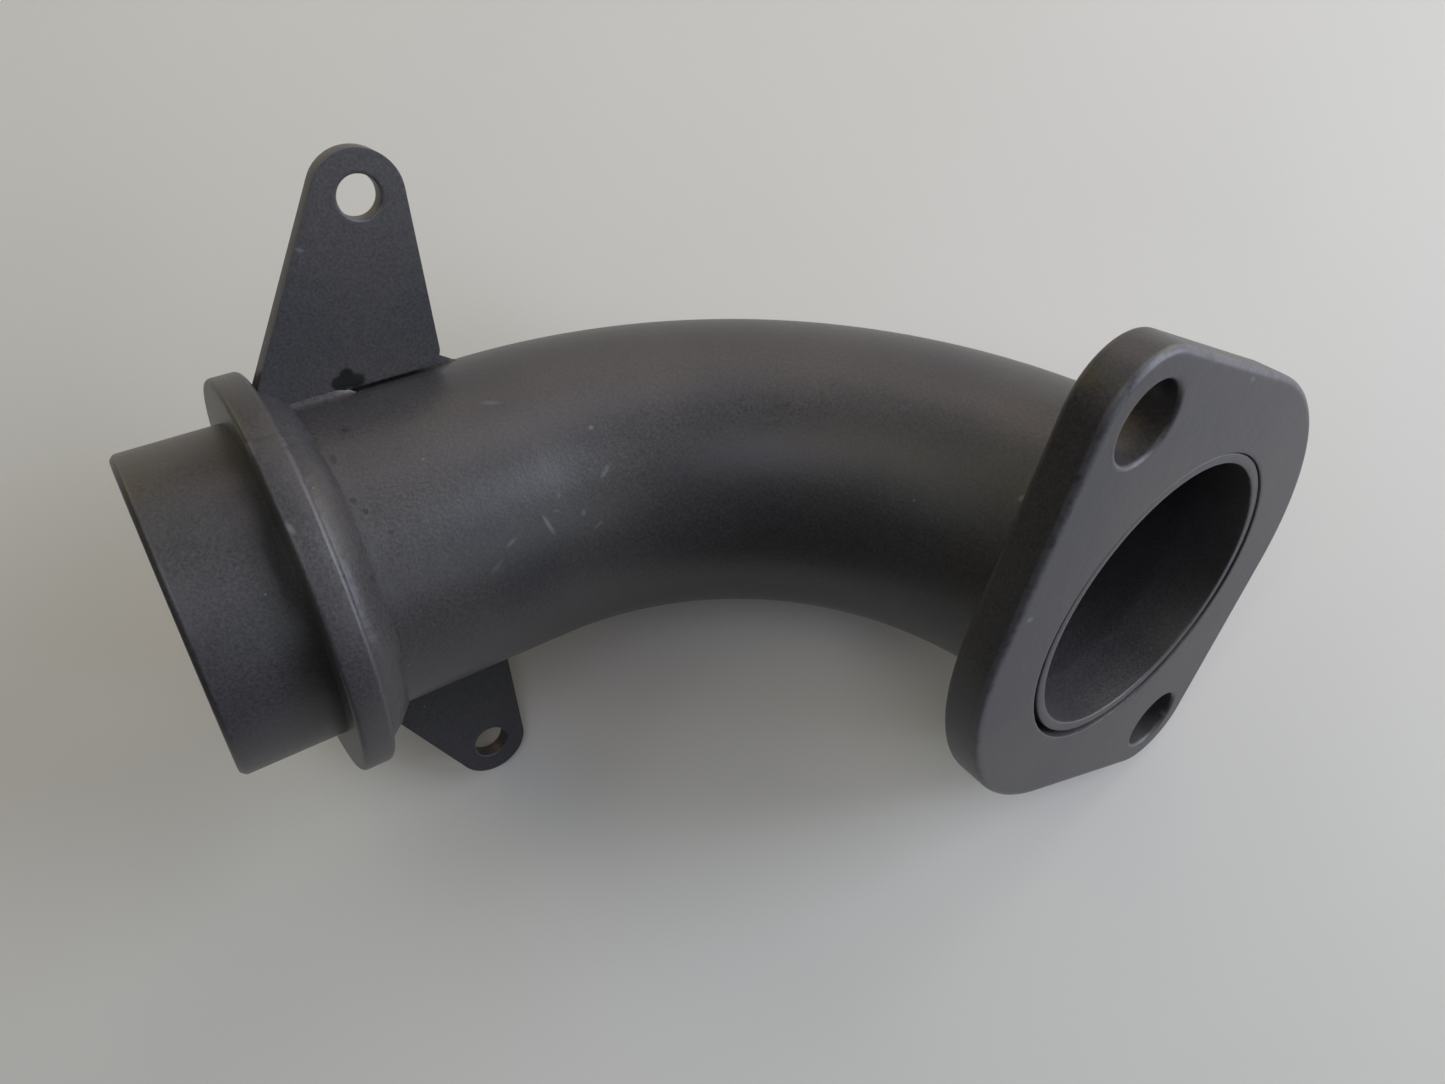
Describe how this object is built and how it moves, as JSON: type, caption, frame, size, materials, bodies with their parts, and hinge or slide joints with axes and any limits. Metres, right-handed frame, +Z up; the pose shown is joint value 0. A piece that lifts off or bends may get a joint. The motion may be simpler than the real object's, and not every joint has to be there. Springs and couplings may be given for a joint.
{
  "type": "flue elbow",
  "caption": "Dark grey welded steel flue elbow of near ninety degrees with a collared plain spigot, an oval bolted flange and a pair of pierced mounting lugs.",
  "frame": {"origin": "centre of the plan outline, on the surface the elbow lies on", "axes": "+X along the longest extent from the spigot end to the flange end, +Y towards the upper lug, +Z up from the resting surface"},
  "size_m": [0.195, 0.0995, 0.0942],
  "materials": {
    "tube_steel": "matte heat-resisting dark grey over bent steel tube, fine grain",
    "flange_steel": "matte dark grey over cut steel plate, worn edges",
    "collar_steel": "matte dark grey over rolled flat bar, rubbed rim",
    "lug_steel": "matte dark grey over pressed steel plate",
    "weld_metal": "matte dark grey over rippled weld bead"
  },
  "bodies": {
    "root": {"elbow_tube": "tube_steel", "flange_plate": "flange_steel", "collar_ring": "collar_steel", "collar_seam_weld": "weld_metal", "collar_fillet_weld": "weld_metal", "flange_fillet_weld": "weld_metal", "upper_lug": "lug_steel", "lower_lug": "lug_steel", "upper_lug_front_weld": "weld_metal", "upper_lug_back_weld": "weld_metal", "lower_lug_front_weld": "weld_metal", "lower_lug_back_weld": "weld_metal"}
  },
  "joints": []
}
